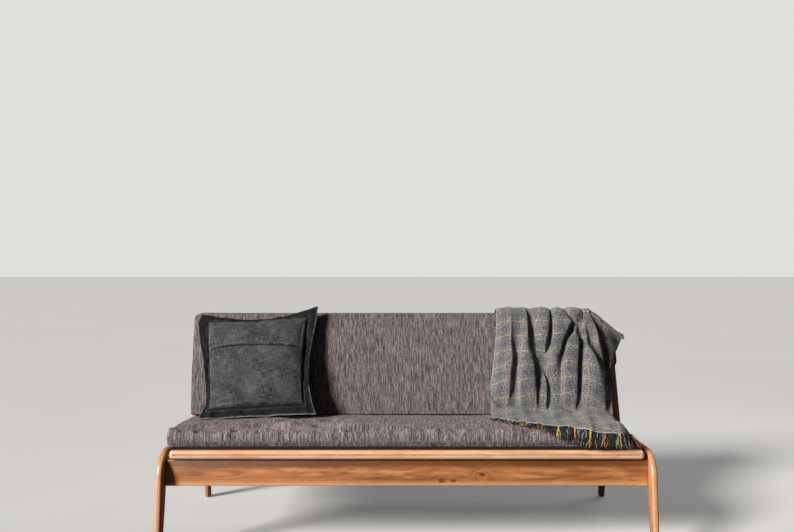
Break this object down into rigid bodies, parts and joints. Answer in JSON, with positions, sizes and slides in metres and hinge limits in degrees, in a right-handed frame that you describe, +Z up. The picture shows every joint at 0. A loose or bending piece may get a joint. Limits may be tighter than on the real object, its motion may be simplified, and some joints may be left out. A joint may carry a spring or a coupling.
{
  "type": "bench sofa",
  "caption": "Wooden bench sofa on raked bent legs, with a long seat cushion, a leaning back cushion, a loose flanged cushion and a fringed checked throw.",
  "frame": {"origin": "on the floor, midway between the four feet", "axes": "+X to the right as someone looks at the front, +Y from the front to the back, +Z up"},
  "size_m": [1.8566, 0.8692, 0.9093],
  "materials": {
    "wood": "oiled and lacquered reddish-brown hardwood, satin, clear grain and knots",
    "pale_wood": "plain pale softwood, unfinished",
    "sofa_cloth": "coarse woven upholstery cloth, charcoal brown with pale upright slubs",
    "dark_cloth": "washed charcoal linen",
    "throw_cloth": "soft grey wool twill with a thin yellow windowpane check",
    "dark_metal": "dark bronzed bolt heads",
    "felt": "pressed felt glides"
  },
  "bodies": {
    "root": {"leg_front_left": "wood", "glide_front_left": "felt", "bolt_front_left_1": "dark_metal", "bolt_front_left_2": "dark_metal", "leg_rear_left": "wood", "glide_rear_left": "felt", "bolt_rear_left_1": "dark_metal", "bolt_rear_left_2": "dark_metal", "side_rail_left": "wood", "back_post_left": "wood", "leg_front_right": "wood", "glide_front_right": "felt", "bolt_front_right_1": "dark_metal", "bolt_front_right_2": "dark_metal", "leg_rear_right": "wood", "glide_rear_right": "felt", "bolt_rear_right_1": "dark_metal", "bolt_rear_right_2": "dark_metal", "side_rail_right": "wood", "back_post_right": "wood", "apron_front": "wood", "stretcher_rear": "wood", "deck_lip": "wood", "slat_ledger": "pale_wood", "slat_beam": "pale_wood", "deck_slat_01": "pale_wood", "deck_slat_02": "pale_wood", "deck_slat_03": "pale_wood", "deck_slat_04": "pale_wood", "deck_slat_05": "pale_wood", "deck_slat_06": "pale_wood", "deck_slat_07": "pale_wood", "deck_slat_08": "pale_wood", "deck_slat_09": "pale_wood", "deck_slat_10": "pale_wood", "deck_slat_11": "pale_wood", "deck_slat_12": "pale_wood", "deck_slat_13": "pale_wood", "back_rail_bottom": "wood", "back_rail_top": "wood", "back_slat_01": "wood", "back_slat_02": "wood", "back_slat_03": "wood", "back_slat_04": "wood", "back_slat_05": "wood", "back_slat_06": "wood", "back_slat_07": "wood", "back_slat_08": "wood", "back_slat_09": "wood", "back_slat_10": "wood", "back_slat_11": "wood", "seat_cushion": "sofa_cloth", "back_cushion": "sofa_cloth", "loose_cushion": "dark_cloth", "throw": "throw_cloth"}
  },
  "joints": []
}
